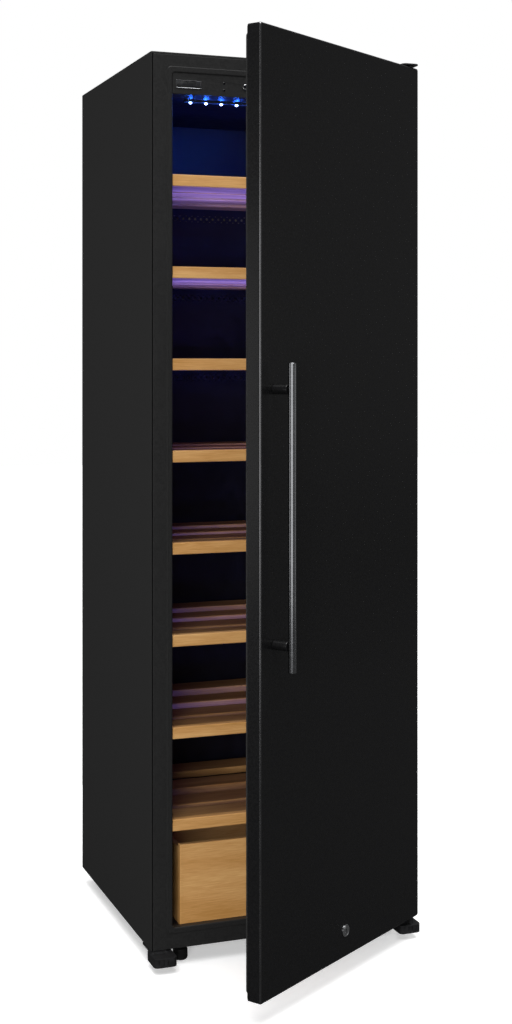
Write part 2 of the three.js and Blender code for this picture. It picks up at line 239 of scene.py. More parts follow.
def eased(node, width, material, body, angle=30):
    """A copy of a CAD node with its doubles merged, its flat areas joined and its edges eased."""
    mesh = frame["nodes"][node].data.copy()
    made = bpy.data.objects.new(node + "_eased", mesh)
    bpy.context.scene.collection.objects.link(made)
    work = bmesh.new()
    work.from_mesh(mesh)
    bmesh.ops.remove_doubles(work, verts=work.verts, dist=0.02 * MM)
    bmesh.ops.dissolve_limit(work, angle_limit=radians(1), verts=work.verts, edges=work.edges)
    work.to_mesh(mesh)
    work.free()
    mesh.materials.clear()
    mesh.materials.append(material)
    mesh.polygons.foreach_set("use_smooth", [True] * len(mesh.polygons))
    mesh.set_sharp_from_angle(angle=radians(angle))
    bevel = made.modifiers.new("eased edges", "BEVEL")
    bevel.width = width * MM
    bevel.segments = 2
    bevel.limit_method = "ANGLE"
    bevel.angle_limit = radians(angle)
    bevel.harden_normals = True
    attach(made, body)
    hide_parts(node)
    return made


# ---- materials ----
def linear(code, alpha=1.0):
    """An sRGB hex colour as linear numbers."""
    values = np.array([int(code[k:k + 2], 16) for k in (0, 2, 4)]) / 255
    curved = np.where(values <= 0.04045, values / 12.92, ((values + 0.055) / 1.055) ** 2.4)
    return (*curved.tolist(), alpha)


def add(tree, kind, inputs=None, **settings):
    """Adds one node. Inputs are values, or the sockets that they come from."""
    made = tree.nodes.new("ShaderNode" + kind)
    for key, value in settings.items():
        setattr(made, key, value)
    for key, value in (inputs or {}).items():
        if isinstance(value, bpy.types.NodeSocket):
            tree.links.new(value, made.inputs[key])
        else:
            made.inputs[key].default_value = value
    return made


def per_mm(size):
    """The scale of a pattern whose features are this many millimetres across."""
    return 1 / (size * MM)


def surface(name, **sockets):
    """A material with its shader's constant sockets set: underscores stand for spaces."""
    made = bpy.data.materials.new(name)
    made.use_nodes = True
    shader = made.node_tree.nodes["Principled BSDF"]
    for key, value in sockets.items():
        shader.inputs[key.replace("_", " ")].default_value = value
    return made, made.node_tree, shader


def ramp(tree, factor, stops):
    """Colours spread along a factor."""
    made = add(tree, "ValToRGB", {"Fac": factor})
    elements = made.color_ramp.elements
    while len(elements) < len(stops):
        elements.new(0.5)
    for element, (at, colour) in zip(elements, stops):
        element.position = at
        element.color = colour
    return made.outputs["Color"]


def patterned(made, tree, shader, stops, size, stretch=(1, 1, 1), bump=0.1, height=0.2,
              roughness=None, detail=4.0):
    """Colour, roughness and bump from one noise whose features are size millimetres across. Stretch
    draws it out along an axis, and height is the bump's depth in millimetres."""
    place = add(tree, "TexCoord").outputs["Object"]
    mapped = add(tree, "Mapping", {"Vector": place, "Scale": tuple(1 / s for s in stretch)})
    noise = add(tree, "TexNoise", {"Vector": mapped.outputs["Vector"], "Scale": per_mm(size),
                                   "Detail": detail, "Roughness": 0.6})
    tree.links.new(ramp(tree, noise.outputs["Fac"], stops), shader.inputs["Base Color"])
    if roughness:
        spread = add(tree, "MapRange", {"Value": noise.outputs["Fac"], "From Min": 0.3,
                                        "From Max": 0.7, "To Min": roughness[0],
                                        "To Max": roughness[1]})
        tree.links.new(spread.outputs["Result"], shader.inputs["Roughness"])
    dents = add(tree, "Bump", {"Height": noise.outputs["Fac"], "Strength": bump,
                               "Distance": height * MM})
    tree.links.new(dents.outputs["Normal"], shader.inputs["Normal"])
    return made


def powder_coat():
    # Polyester powder coat, sprayed and baked: a matte black with a slight even grain. The grain is
    # about 0.5 mm, drawn at 3 mm so that it shows.
    stops = [(0.35, linear("262626")), (0.65, linear("2b2b2b"))]
    return patterned(*surface("powder coated steel", Roughness=0.62, Specular_IOR_Level=0.3),
                     stops, 3, bump=0.08, roughness=(0.58, 0.68))


def moulded_abs():
    # ABS, injection moulded against a fine spark-eroded tool: satin black with a soft speckle.
    stops = [(0.35, linear("1d1d1d")), (0.65, linear("262626"))]
    return patterned(*surface("moulded black ABS", Roughness=0.5, Specular_IOR_Level=0.35),
                     stops, 3.5, bump=0.12, roughness=(0.42, 0.56))


def liner_abs():
    # Vacuum-formed ABS sheet: smooth, near black, a little glossier than the frame.
    stops = [(0.3, linear("0c0c12")), (0.7, linear("15151f"))]
    return patterned(*surface("vacuum formed ABS liner", Roughness=0.4), stops, 25, bump=0.05,
                     height=0.4, roughness=(0.34, 0.46))


def door_enamel():
    # Enamelled steel sheet, semi-gloss black: a faint orange peel about 4 mm across breaks up the
    # reflection of the handle's posts.
    stops = [(0.3, linear("0d0d0e")), (0.7, linear("141415"))]
    return patterned(*surface("semi-gloss enamelled door", Roughness=0.26, IOR=1.5), stops, 4,
                     bump=0.04, height=0.1, roughness=(0.22, 0.32))


def timber(name, dark, middle, light, size=2.2):
    # Light hardwood, planed and oiled: grain lines about 2 mm apart run along the board, with slow
    # changes of tone between them.
    made, tree, shader = surface(name, Roughness=0.55, Specular_IOR_Level=0.35)
    place = add(tree, "TexCoord").outputs["Object"]
    along = add(tree, "Mapping", {"Vector": place, "Scale": (0.05, 1, 1)})
    grain = add(tree, "TexNoise", {"Vector": along.outputs["Vector"], "Scale": per_mm(size),
                                   "Detail": 6.0, "Roughness": 0.65, "Distortion": 0.4})
    broad = add(tree, "Mapping", {"Vector": place, "Scale": (0.12, 1, 1)})
    tone = add(tree, "TexNoise", {"Vector": broad.outputs["Vector"], "Scale": per_mm(38),
                                  "Detail": 2.0})
    mixed = add(tree, "Math", {0: grain.outputs["Fac"], 1: tone.outputs["Fac"]},
                operation="ADD")
    halved = add(tree, "Math", {0: mixed.outputs[0], 1: 0.5}, operation="MULTIPLY")
    stops = [(0.36, linear(dark)), (0.5, linear(middle)), (0.64, linear(light))]
    tree.links.new(ramp(tree, halved.outputs[0], stops), shader.inputs["Base Color"])
    dents = add(tree, "Bump", {"Height": grain.outputs["Fac"], "Strength": 0.25,
                               "Distance": 0.3 * MM})
    tree.links.new(dents.outputs["Normal"], shader.inputs["Normal"])
    return made


def brushed_steel():
    # Stainless steel tube, polished and then brushed round: bright, with fine rings that spread the
    # light along the bar. The rings are about 0.3 mm, drawn at 1.5 mm.
    stops = [(0.3, linear("9c9ea1")), (0.7, linear("b4b5b8"))]
    return patterned(*surface("brushed stainless steel", Metallic=1.0, Roughness=0.2), stops, 1.5,
                     stretch=(14, 14, 1), bump=0.01, height=0.02, roughness=(0.12, 0.18))


def chrome():
    # Bright chrome plate on zinc: mirror-like, with faint swirls.
    stops = [(0.3, linear("d4d6d9")), (0.7, linear("f2f3f5"))]
    return patterned(*surface("chrome plate", Metallic=1.0, Roughness=0.12), stops, 6, bump=0.03,
                     height=0.05, roughness=(0.08, 0.18))


def black_zinc():
    # Pressed steel, black zinc plated: dark with a dull sheen and spangle patches about 8 mm across.
    stops = [(0.3, linear("2a2a2b")), (0.7, linear("3a3a3c"))]
    return patterned(*surface("black zinc plated steel", Metallic=0.6, Roughness=0.4), stops, 8,
                     bump=0.1, roughness=(0.32, 0.5))


def painted_highlight_edge():
    # A brighter, metallic copy of the door enamel on the rolled edge: a painted highlight that draws the
    # bright line along the door's edge. Grey and mirror-like, a little uneven along its length.
    stops = [(0.3, linear("7c7c7d")), (0.7, linear("8e8e90"))]
    return patterned(*surface("door edge with painted highlight", Metallic=1.0, Roughness=0.22), stops, 12,
                     stretch=(1, 1, 6), bump=0.01, height=0.02, roughness=(0.2, 0.26))


def mill_aluminium():
    # Rolled aluminium as it left the mill: pale, with lines along the rolling direction.
    stops = [(0.3, linear("9a9c9f")), (0.7, linear("c3c5c8"))]
    return patterned(*surface("mill finish aluminium", Metallic=1.0, Roughness=0.35), stops, 2,
                     stretch=(1, 1, 12), bump=0.08, roughness=(0.28, 0.42))


def seal_rubber():
    # Extruded PVC with a magnet strip inside: matte grey-black, a little streaky along its length.
    stops = [(0.3, linear("2c2c2c")), (0.7, linear("3b3b3b"))]
    return patterned(*surface("extruded seal", Roughness=0.62, Specular_IOR_Level=0.35), stops, 4,
                     stretch=(1, 1, 8), bump=0.1, roughness=(0.55, 0.7))


def moulded_nylon():
    # Glass-filled nylon, moulded: dark and matte, with a slight mottling.
    stops = [(0.3, linear("101010")), (0.7, linear("1b1b1b"))]
    return patterned(*surface("moulded nylon", Roughness=0.55), stops, 5, bump=0.12,
                     roughness=(0.48, 0.62))


def poured_foam():
    # Polyurethane foam, poured in place: cream, with open bubbles about 3 mm across.
    stops = [(0.3, linear("c9bd8f")), (0.7, linear("e2d8b0"))]
    return patterned(*surface("polyurethane foam", Roughness=0.95), stops, 3, bump=0.5,
                     height=0.8)


def smoked_window():
    # Acrylic, cast and tinted: near black and glossy, with hardly any waviness.
    stops = [(0.3, linear("050507")), (0.7, linear("0a0a0e"))]
    return patterned(*surface("smoked acrylic window", Roughness=0.08), stops, 20, bump=0.02,
                     roughness=(0.06, 0.12))


def pump_enamel():
    # Brushed-on machine enamel over welded steel: gloss black with an uneven coat.
    stops = [(0.3, linear("0b0b0b")), (0.7, linear("161616"))]
    return patterned(*surface("machine enamel", Roughness=0.3), stops, 12, bump=0.15, height=0.5,
                     roughness=(0.22, 0.4))


def light_lens(name, colour, strength):
    # Epoxy lens over a lit chip: it glows, and the chip's rim shows as a slow change of tone.
    made, tree, shader = surface(name, Roughness=0.2, Emission_Strength=strength)
    stops = [(0.2, linear(colour)), (0.8, linear("ffffff"))]
    patterned(made, tree, shader, stops, 3, bump=0.05)
    shader.inputs["Emission Color"].default_value = linear(colour)
    return made


def stage_paint():
    # Matte white studio paper. Only the camera sees it white: to the cooler it is mid grey, so that the
    # door's foot isn't lit up from below.
    made, tree, shader = surface("studio paper", Roughness=0.95, Emission_Strength=0.4,
                                 Emission_Color=(1, 1, 1, 1))
    stops = [(0.3, linear("f4f4f4")), (0.7, linear("fafafa"))]
    patterned(made, tree, shader, stops, 60, bump=0.02)
    grey = add(tree, "BsdfDiffuse", {"Color": linear("3c3c3c")})
    seen = add(tree, "LightPath").outputs["Is Camera Ray"]
    mixed = add(tree, "MixShader", {0: seen, 1: grey.outputs[0], 2: shader.outputs[0]})
    tree.links.new(mixed.outputs[0], tree.nodes["Material Output"].inputs["Surface"])
    return made


POWDER = powder_coat()
ABS = moulded_abs()
LINER = liner_abs()
ENAMEL = door_enamel()
BEECH = timber("oiled beech", "b07f43", "c4935a", "d3a66c")
SLAT = timber("sawn beech slats", "8d6538", "a67c4a", "b98f5c", 3.0)
STEEL = brushed_steel()
CHROME = chrome()
ZINC = black_zinc()
EDGE_HIGHLIGHT = painted_highlight_edge()
ALUMINIUM = mill_aluminium()
SEAL = seal_rubber()
NYLON = moulded_nylon()
FOAM = poured_foam()
WINDOW = smoked_window()
PUMP = pump_enamel()
LED = light_lens("lit blue lens", "8fa8ff", 30.0)
GLOW = light_lens("lit display bar", "6fb2ff", 4.0)


# ---- cabinet ----
def front_frame():
    """The frame: rounded rectangles from its outer back edge, over the flat face, up and over the raised
    bead round the opening, and back inside the opening."""
    low, high = box("front_frame")
    opening = opening_rect()
    face = low[1] + 1.5 * MM
    outer = (low[0], high[0], low[2], high[2])
    bead, lip = 12, 1.2
    rows = [(outer, 0.5, high[1]), (outer, 0.5, face + 1.2 * MM),
            (grow(outer, -0.35 * MM), 0.6, face + 0.35 * MM), (grow(outer, -1.2 * MM), 0.6, face),
            (grow(outer, -1.8 * MM), 0.6, face), (grow(opening, (bead + 1.0) * MM), 9, face),
            (grow(opening, (bead + 0.1) * MM), 9, face),
            (grow(opening, bead * MM), 9, face - 0.4 * MM)]
    for turn in np.linspace(0, pi / 2, 4)[1:]:
        rows.append((grow(opening, (bead - lip * sin(turn)) * MM), 9,
                     face - (0.4 + 1.1 * (1 - cos(turn))) * MM))
    rows += [(grow(opening, (bead - lip - HOLD) * MM), 9, low[1]),
             (grow(opening, 3.0 * MM), 7, low[1]), (grow(opening, 2.4 * MM), 7, low[1]),
             (grow(opening, 0.9 * MM), 7, low[1] + 0.4 * MM),
             (grow(opening, 0.2 * MM), 7, low[1] + 1.2 * MM), (opening, 7, low[1] + 2.4 * MM),
             (opening, 7, low[1] + 3.0 * MM), (opening, 7, high[1])]
    rings = [lift(rounded(rect, corner * MM), 1, y) for rect, corner, y in rows]
    piece("front_frame_moulding", [skin(rings, looped=True)], "cabinet", ABS,
          ["front_frame"])


def opening_rect():
    """The frame's opening: the control panel fills its top, and the sill is under the liner's floor."""
    low, high = box("control_housing")
    sill = box("front_frame")[0][2] + SILL * MM
    return (low[0] - 0.3 * MM, high[0] + 0.3 * MM, sill, high[2] + 0.3 * MM)


def cabinet_shell():
    for node in ("left_side_panel", "right_side_panel", "top_panel", "back_panel"):
        low, high = box(node)
        axis = int(np.argmin(high - low))
        piece(node + "_sheet", [board(low, high, axis, 0.6, 2.0)], "cabinet", POWDER,
              [node])


def liner_and_duct():
    for node in ("liner_left_wall", "liner_right_wall", "liner_ceiling", "liner_floor"):
        eased(node, 0.5, LINER, "cabinet")
    duct_cover()


def pierced(low, high, centres, pitch, radius):
    """Squares of a thin sheet across Y, each with a round hole: the hole's rim is blended from the
    circle out to the square. The plain strips that fill the rest of the sheet are made by the caller."""
    angle = np.linspace(0, 2 * pi, 16, endpoint=False) + pi / 16
    circle = np.stack([np.cos(angle), np.sin(angle)], -1)
    square = circle / np.abs(circle).max(-1, keepdims=True)
    parts = []
    for x, z in centres:
        rings = [lift(circle * radius + (x, z), 1, high[1]),
                 lift(circle * radius + (x, z), 1, low[1]),
                 lift(square * pitch / 2 + (x, z), 1, low[1]),
                 lift(square * pitch / 2 + (x, z), 1, high[1])]
        parts.append(skin(rings, looped=True))
    return parts


def duct_cover():
    """The back wall of the inside: plain bands between rows of round vent holes."""
    low, high = box("air_duct_cover")
    pitch, radius = 14.6 * MM, 3.0 * MM
    columns = 28
    first = -pitch * (columns - 1) / 2
    rows = [box(f"shelf_{i}_fascia")[0][2] - 20 * MM for i in SHELVES]
    centres = [(first + k * pitch, z) for z in rows for k in range(columns)]
    parts = pierced(low, high, centres, pitch, radius)
    edges = sorted([low[2], high[2]] + [z + s * pitch / 2 for z in rows for s in (-1, 1)])
    for bottom, top in zip(edges[::2], edges[1::2]):
        parts.append(board((low[0], low[1], bottom), (high[0], high[1], top), 1, 0.2, 0.2))
    reach = first - pitch / 2
    for z in rows:
        for x0, x1 in ((low[0], reach), (-reach, high[0])):
            parts.append(board((x0, low[1], z - pitch / 2), (x1, high[1], z + pitch / 2), 1,
                               0.2, 0.2))
    piece("air_duct_panel", parts, "cabinet", LINER, ["air_duct_cover"])


# ---- storage ----
def screw_head(x, y, z, axis=2, up=-1, radius=3.4):
    """A low domed screw head with a driver recess turned into its middle."""
    profile = [(radius, 0), (radius, 0.5), (radius * 0.8, 1.3), (radius * 0.45, 1.6),
               (radius * 0.35, 0.9), (radius * 0.1, 0.8)]
    return turned([(r, up * h) for r, h in profile], (x, y, z), axis, sides=12)


def shelf(i):
    """Four slats with eased edges on two rails, screwed from below, behind a planed fascia."""
    low, high = box(f"shelf_{i}_deck")
    under, thick = low[2], 16 * MM
    rail_inset, rail_half = 11 * MM, 9 * MM
    slats = [(0, 87.7), (110.7, 182.7), (233.7, 303.7), (365.7, high[1] / MM - low[1] / MM)]
    parts = []
    for y0, y1 in slats:
        parts.append(board((low[0], low[1] + y0 * MM, under),
                           (high[0], low[1] + y1 * MM, under + thick), 0, 2.2))
        for side in (-1, 1):
            x = side * (high[0] - rail_inset)
            parts.append(screw_head(x, low[1] + (y0 + y1) / 2 * MM, under))
    for side in (-1, 1):
        centre = side * (high[0] - rail_inset)
        parts.append(board((centre - rail_half, low[1] + 38 * MM, under + thick - 0.4 * MM),
                           (centre + rail_half, high[1] - 5 * MM, high[2]), 1, 1.2))
    piece(f"shelf_{i}_slats", parts, "cabinet", SLAT, [f"shelf_{i}_deck"])
    low, high = box(f"shelf_{i}_fascia")
    piece(f"shelf_{i}_rail", [board(low, high, 0, 1.8)], "cabinet", BEECH,
          [f"shelf_{i}_fascia"])


def crate():
    """Four thin walls round a floor of five boards, behind a thicker front board with a row of pins at
    each end of it."""
    low, high = box("crate_box")
    wall = 12 * MM
    floor = low[2] + 10 * MM
    board_gap = 1.5 * MM
    parts = [board((low[0], low[1], low[2]), (low[0] + wall, high[1], high[2]), 1, 1.5),
             board((high[0] - wall, low[1], low[2]), (high[0], high[1], high[2]), 1, 1.5),
             board((low[0] + wall, low[1], floor), (high[0] - wall, low[1] + wall, high[2]), 0, 1.5),
             board((low[0] + wall, high[1] - wall, floor), (high[0] - wall, high[1], high[2]), 0,
                   1.5)]
    count = 5
    step = (high[1] - low[1]) / count
    for k in range(count):
        y = low[1] + k * step
        parts.append(board((low[0] + wall, y, low[2]),
                           (high[0] - wall, y + step - board_gap, floor), 0, 1.0))
    piece("crate_boards", parts, "cabinet", BEECH, ["crate_box"])
    low, high = box("crate_front")
    parts = [board(low, high, 0, 2.0)]
    pin = [(1.6, 0), (1.4, -0.35), (0.6, -0.5)]
    lowest, spacing, inset, sunk = 25, 38, 9, 0.05
    for side in (-1, 1):
        for k in range(4):
            place = (side * (high[0] - inset * MM), low[1] + sunk * MM,
                     low[2] + (lowest + k * spacing) * MM)
            parts.append(turned(pin, place, 1, 12))
    piece("crate_front_board", parts, "cabinet", BEECH, ["crate_front"])


# ---- control panel and light ----
def control_panel():
    """The panel's face has a recess for the window and wells for the keys, so it keeps its solid."""
    eased("control_housing", 0.6, ABS, "cabinet")
    low, high = box("display_window")
    window = (low[0], high[0], low[2], high[2])
    piece("display_lens", [layered(window, 2.5 * MM, [(-0.8 * MM, low[1]), (0, low[1] + 0.6 * MM),
                                                     (0, high[1])])],
          "cabinet", WINDOW, ["display_window"])
    digits(low, high)
    low, high = box("badge_plate")
    plate = (low[0], high[0], low[2], high[2])
    rim = [(0, high[1]), (0, low[1] + 0.3 * MM), (-0.3 * MM, low[1]), (-1.5 * MM, low[1]),
           (-1.8 * MM, low[1] + 0.4 * MM), (-2.2 * MM, low[1] + 0.45 * MM)]
    piece("plain_badge", [layered(plate, 1.5 * MM, rim)], "cabinet", CHROME,
          ["badge_plate"])
    for node, body in (("power_button", "power_key"), ("down_button", "down_key"),
                       ("up_button", "up_key")):
        key(node, body)
    face = box("control_housing")[0][1]
    dots = [turned([(2.6, 0.2), (2.6, -0.3), (2.0, -0.7), (0.9, -0.95)],
                   (x, face, z), 1, 20) for x, z in indicator_places()]
    piece("indicator_dots", dots, "cabinet", WINDOW)


def indicator_places():
    """Two dots one above the other, between the badge and the power key."""
    low, high = box("badge_plate")
    x = (high[0] + box("power_button")[0][0]) / 2 + 4 * MM
    middle = (low[2] + high[2]) / 2
    return [(x, middle + 7 * MM), (x, middle - 7 * MM)]


def key(node, body):
    """A round key: straight sides, a rolled rim and a shallow dish for the fingertip."""
    low, high = box(node)
    radius = (high[0] - low[0]) / 2 / MM
    length = (high[1] - low[1]) / MM
    profile = [(radius - 0.05, length), (radius - 0.05, 0.8), (radius - 0.3, 0.25),
               (radius - 0.9, 0), (radius * 0.7, 0.15), (radius * 0.35, 0.4), (0.4, 0.45)]
    centre = ((low[0] + high[0]) / 2, low[1], (low[2] + high[2]) / 2)
    piece(node + "_cap", [turned(profile, centre, 1, 36)], body, CHROME, [node])


def digits(low, high):
    """Two figures of lit bars, a one and a two, as a temperature readout shows them."""
    tall, thick = 6.2 * MM, 1.3 * MM
    bars = {"top": (0, 1, 1), "middle": (0, 0, 1), "bottom": (0, -1, 1), "upper right": (1, 0.5, 0),
            "lower right": (1, -0.5, 0), "upper left": (-1, 0.5, 0), "lower left": (-1, -0.5, 0)}
    shown = {-7.5: ["upper right", "lower right"],
             7.5: ["top", "upper right", "middle", "lower left", "bottom"]}
    middle = (low[2] + high[2]) / 2
    parts = []
    for offset, names in shown.items():
        for name in names:
            side, up, flat = bars[name]
            x = offset * MM + side * tall / 2
            z = middle + up * tall
            long_x = (tall - thick * 1.4 if flat else thick) / 2
            long_z = (thick if flat else tall - thick * 1.4) / 2
            parts.append(board((x - long_x, low[1] - 0.1 * MM, z - long_z),
                               (x + long_x, low[1] + 0.4 * MM, z + long_z), 1, 0.15, 0.3))
    piece("readout_bars", parts, "cabinet", GLOW)


def led_places():
    """Eleven lights spread evenly along the strip."""
    low, high = box("led_strip")
    middle = (low[1] + high[1]) / 2
    return [(x, middle, low[2]) for x in np.linspace(low[0] + 14 * MM, high[0] - 14 * MM, 11)]


def led_strip():
    """A shallow channel across the ceiling with a row of domed lights in it."""
    low, high = box("led_strip")
    piece("light_channel", [board(low, high, 0, 1.2)], "cabinet", ABS,
          ["led_strip"])
    domes = [turned([(3.0, 0.3), (3.0, -0.6), (2.5, -1.9), (1.4, -2.8), (0.5, -3.0)], place, 2, 20)
             for place in led_places()]
    piece("ceiling_lights", domes, "cabinet", LED)


# ---- cooling and the back ----
def machine():
    """Nodes whose shape is right and only need their edges eased, and the screws of the back."""
    for node, width, material, slot in (
            ("condenser", 0.3, ALUMINIUM, "inner_metal"),
            ("evaporator", 0.3, ALUMINIUM, "inner_metal"),
            ("fan_motor", 0.5, ALUMINIUM, "inner_metal"),
            ("rear_grille", 0.4, NYLON, "black_plastic"),
            ("power_inlet", 0.5, NYLON, "black_plastic"),
            ("base_plate", 0.4, ZINC, "bracket_zinc"),
            ("rear_rail", 3.0, NYLON, "black_plastic")):
        eased(node, width, material, "cabinet")
    eased("fan_rotor", 0.3, NYLON, "fan")
    compressor()
    low, high = box("back_panel")
    grille = box("rear_grille")
    screws = [screw_head(x, high[1], z, 1, 1, 3.6) for x in (low[0] + 12 * MM, high[0] - 12 * MM)
              for z in np.linspace(low[2] + 20 * MM, high[2] - 20 * MM, 7)]
    screws += [screw_head(x, grille[1][1], grille[1][2] - 12 * MM, 1, 1, 3.6)
               for x in np.linspace(grille[0][0] + 14 * MM, grille[1][0] - 14 * MM, 5)]
    piece("back_screws", screws, "cabinet", ZINC)


def compressor():
    """A welded pump: two domed halves meeting at a seam, on a foot plate."""
    low, high = box("compressor")
    middle = (low + high) / 2
    radius = 75.0
    foot = low[2] + 10 * MM
    tall = (high[2] - foot) / MM
    rise = np.linspace(0, pi / 2, 9)
    top = [(radius * cos(t), tall * 0.62 + tall * 0.38 * sin(t)) for t in rise[:-1]]
    lower = [(radius * 0.82, 2), (radius * 0.95, 8), (radius, 20), (radius, tall * 0.5)]
    seam = [(radius - 1.5, tall * 0.51), (radius - 1.5, tall * 0.55),
            (radius, tall * 0.56)]
    shell = turned(lower + seam + top, (middle[0], middle[1], foot), 2, 56)
    plate = board((low[0], middle[1] - 55 * MM, low[2]),
                  (high[0], middle[1] + 55 * MM, foot + 2 * MM), 2, 1.0, 14)
    piece("compressor_shell", [shell, plate], "cabinet", PUMP,
          ["compressor"])


# ---- feet and brackets ----
def feet():
    for node, body in (("front_left_foot", "left_foot"), ("front_right_foot", "right_foot")):
        low, high = box(node)
        centre = ((low[0] + high[0]) / 2, (low[1] + high[1]) / 2, low[2])
        tall = (high[2] - low[2]) / MM
        pad = [(12.5, 0), (13.2, 0.4), (14.8, 2.6), (15.3, 4.5)]
        grip = [(15.3, 7), (15.0, tall - 13.5), (14.0, tall - 12), (6.0, tall - 9.5), (6.0, tall)]
        piece(node + "_knob", [turned(pad + grip, centre, 2, 96, (24, 0.012))], body, NYLON,
              [node])


def brackets():
    for node, width in (("lower_hinge", 1.2), ("spare_hinge_bracket", 1.2), ("upper_hinge", 0.8),
                        ("lock_keeper", 0.5)):
        eased(node, width, ZINC, "cabinet")
    low, high = box("upper_hinge")
    screws = [screw_head((low[0] + high[0]) / 2, high[1] - y * MM, high[2] - 0.1 * MM, 2, 1, 4.0)
              for y in (14, 42)]
    piece("hinge_screws", screws, "cabinet", ZINC)


# ---- door ----
def with_slot(rings, between, column):
    """A tray's surface with a slot through its wall: the quads at one column between two pairs of rings
    are left out, the outer and the inner one, and four quads line the hole."""
    points, (quads, fans) = skin(rings)
    around = len(rings[0])
    outer, inner = between
    keep = np.ones(len(quads), bool)
    keep[[outer * around + column, inner * around + column]] = False
    a, b, c, d = [np.array([0, 1]) + row * around + column
                  for row in (outer, outer + 1, inner, inner + 1)]
    lining = np.array([[a[0], a[1], d[1], d[0]], [a[1], b[1], c[1], d[1]],
                       [b[1], b[0], c[0], c[1]], [b[0], a[0], d[0], c[0]]])
    wound = quads[outer * around + column]
    if wound[0] != a[0]:
        lining = lining[:, ::-1]
    return points, [np.concatenate([quads[keep], lining]), fans]


def door():
    """The skin is a tray whose front edges are rolled over a quarter circle, with a slot in its
    underside for the lock's cam."""
    low, high = shut_box("door_skin")
    rect = (low[0], high[0], low[2], high[2])
    wall, roll, corner = 1.2 * MM, 4 * MM, 5 * MM
    cam_low, cam_high = shut_box("lock_cam")
    slot_y = (cam_low[1] - 1.3 * MM, cam_high[1] + 1.3 * MM)
    slot_x = (cam_low[0] - 2 * MM, cam_low[0] + 56 * MM)
    rows = [(-roll - HOLD * MM, low[1])]
    rows += [(-roll * (1 - sin(t)), low[1] + roll * (1 - cos(t)))
             for t in np.linspace(0, pi / 2, 7)]
    rows += [(0, low[1] + roll + HOLD * MM), (0, slot_y[0]), (0, slot_y[1]), (0, high[1]),
             (-wall, high[1]), (-wall, slot_y[1]), (-wall, slot_y[0]), (-wall, low[1] + roll),
             (-roll, low[1] + wall)]
    outer, inner = 9, 13
    rings = []
    for by, at in rows:
        flat = rounded(grow(rect, by), corner + by)
        place = len(flat) * 3 // 4
        edge = [(x, rect[2] - by) for x in slot_x]
        rings.append(lift(np.concatenate([flat[:place], edge, flat[place:]]), 1, at))
    column = int(np.argmin(np.abs(rings[outer][:, 0] - slot_x[0])
                           + np.abs(rings[outer][:, 2] - rect[2])))
    panel = piece("door_panel", opened([with_slot(rings, (outer, inner), column)]), "door", ENAMEL,
                  ["door_skin"])
    around = len(rings[0])
    # The rolled edge's faces take the brighter metallic enamel copy, a painted highlight along the
    # door's edge.
    rolled = np.zeros(len(panel.data.polygons), np.int32)
    rolled[2 * around:6 * around] = 1
    panel.data.materials.append(EDGE_HIGHLIGHT)
    panel.data.polygons.foreach_set("material_index", rolled)
    low, high = shut_box("door_liner")
    rect = (low[0], high[0], low[2], high[2])
    face = high[1] - 4 * MM
    tray = -63 * MM
    rows = [(0, low[1]), (0, face - 0.4 * MM), (-0.4 * MM, face), (tray + 3 * MM, face),
            (tray + 1 * MM, face + 0.8 * MM), (tray - 1 * MM, face + 3.2 * MM),
            (tray - 3 * MM, high[1])]
    piece("door_inner_panel", opened([layered(rect, 4 * MM, rows)]), "door", ABS,
          ["door_liner"])
    gasket()
    handle()
    lock()


def gasket():
    """The seal: a flat root, a bellows that pinches in twice, and a broad lip that meets the frame."""
    low, high = shut_box("door_gasket")
    outer = (low[0], high[0], low[2], high[2])
    deep = high[1] - low[1]
    section = [(-2, 0.0), (-1.2, 0.18), (-2.6, 0.32), (-0.6, 0.5), (-2.2, 0.64), (0, 0.8),
               (-0.3, 0.96), (-1.2, 1.0), (-8.6, 1.0), (-9.6, 0.94), (-9.8, 0.8), (-8.2, 0.64),
               (-9.4, 0.5), (-7.8, 0.32), (-9.2, 0.18), (-8.4, 0.0)]
    rows = [(by * MM, low[1] + at * deep) for by, at in section]
    piece("door_seal", opened([layered(outer, 10 * MM, rows, looped=True)]), "door", SEAL,
          ["door_gasket"])


def handle():
    """A straight round bar on two turned posts, each with a shallow groove round it."""
    low, high = shut_box("handle_bar")
    centre = (low + high) / 2
    radius = (high[0] - low[0]) / 2 / MM
    bar = turned(rounded_bar(radius, low[2] / MM, high[2] / MM, 1.4), (centre[0], centre[1], 0), 2,
                 64)
    piece("handle_tube", opened([bar]), "door", STEEL, ["handle_bar"])
    for node in ("handle_upper_post", "handle_lower_post"):
        near, far = shut_box(node)
        middle = (near + far) / 2
        wide = (far[0] - near[0]) / 2 / MM
        length = (far[1] - near[1]) / MM
        profile = [(wide - 1.2, -0.2), (wide - 0.4, 0.2), (wide, 1.2), (wide, 8), (wide - 0.5, 8.4),
                   (wide - 0.5, 9.4), (wide, 9.8), (wide, length - 1.2), (wide - 0.4, length - 0.3),
                   (wide - 1.2, length)]
        piece(node + "_turned", opened([turned(profile, (middle[0], near[1], middle[2]), 1, 48)]),
              "door", ENAMEL, [node])


